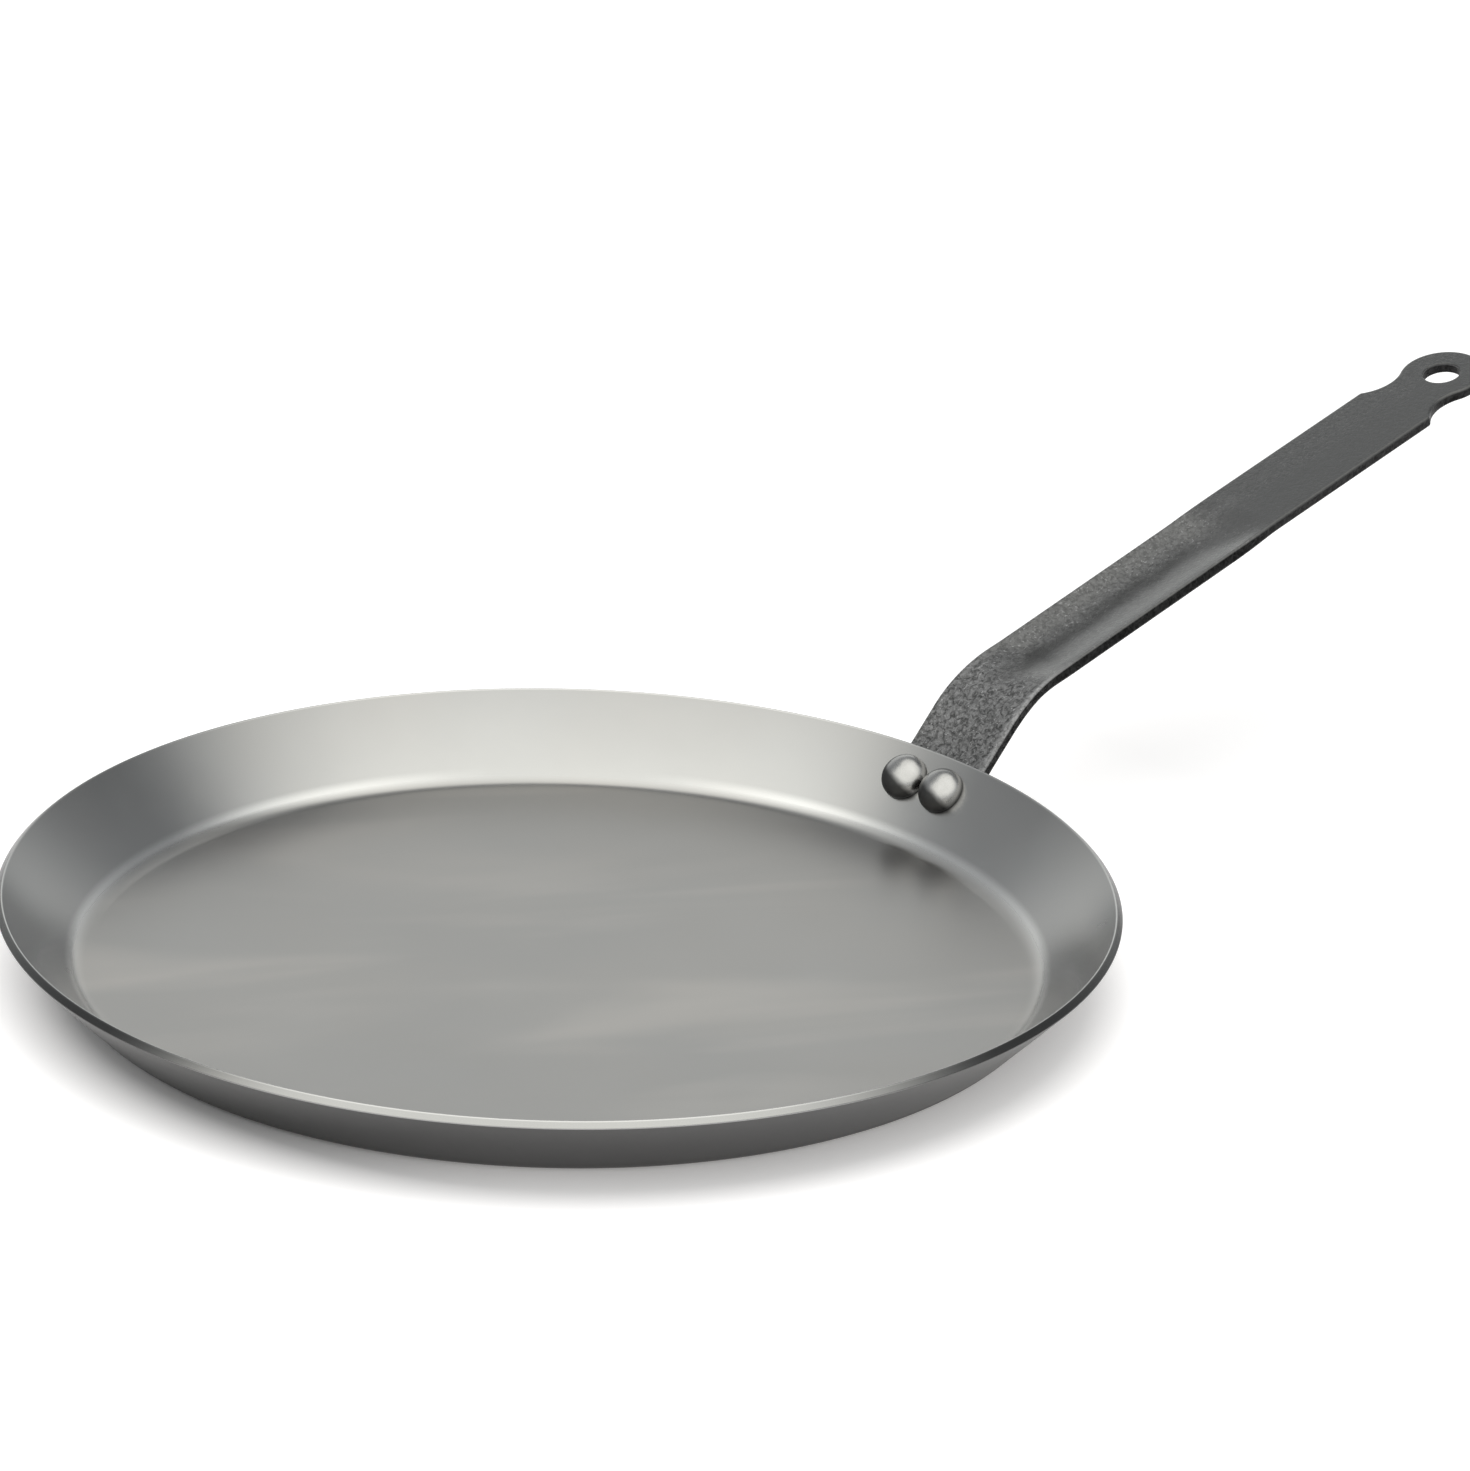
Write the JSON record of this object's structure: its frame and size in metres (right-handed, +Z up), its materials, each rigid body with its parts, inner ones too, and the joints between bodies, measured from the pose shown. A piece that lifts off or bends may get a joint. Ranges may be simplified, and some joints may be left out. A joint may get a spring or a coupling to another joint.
{
  "type": "crepe pan",
  "caption": "Shallow round steel crepe pan with a low flared wall and a rising strip handle riveted to the wall, pressed into a gutter along the grip and ending in a hanging eye.",
  "frame": {"origin": "centre of the base's flat underside, on the surface that the pan stands on", "axes": "+Z up, out of the pan's open top; +X from the centre towards the handle; +Y to the left of someone who looks along the handle from the pan"},
  "size_m": [0.4113, 0.24, 0.0696],
  "materials": {
    "pan_steel": "bare sheet steel, satin, with faint scratches",
    "handle_coat": "charcoal hammered coat, semi-matt",
    "rivet_steel": "satin steel"
  },
  "bodies": {
    "root": {"pan_body": "pan_steel", "handle": "handle_coat", "rivet_left": "rivet_steel", "rivet_right": "rivet_steel"}
  },
  "joints": []
}
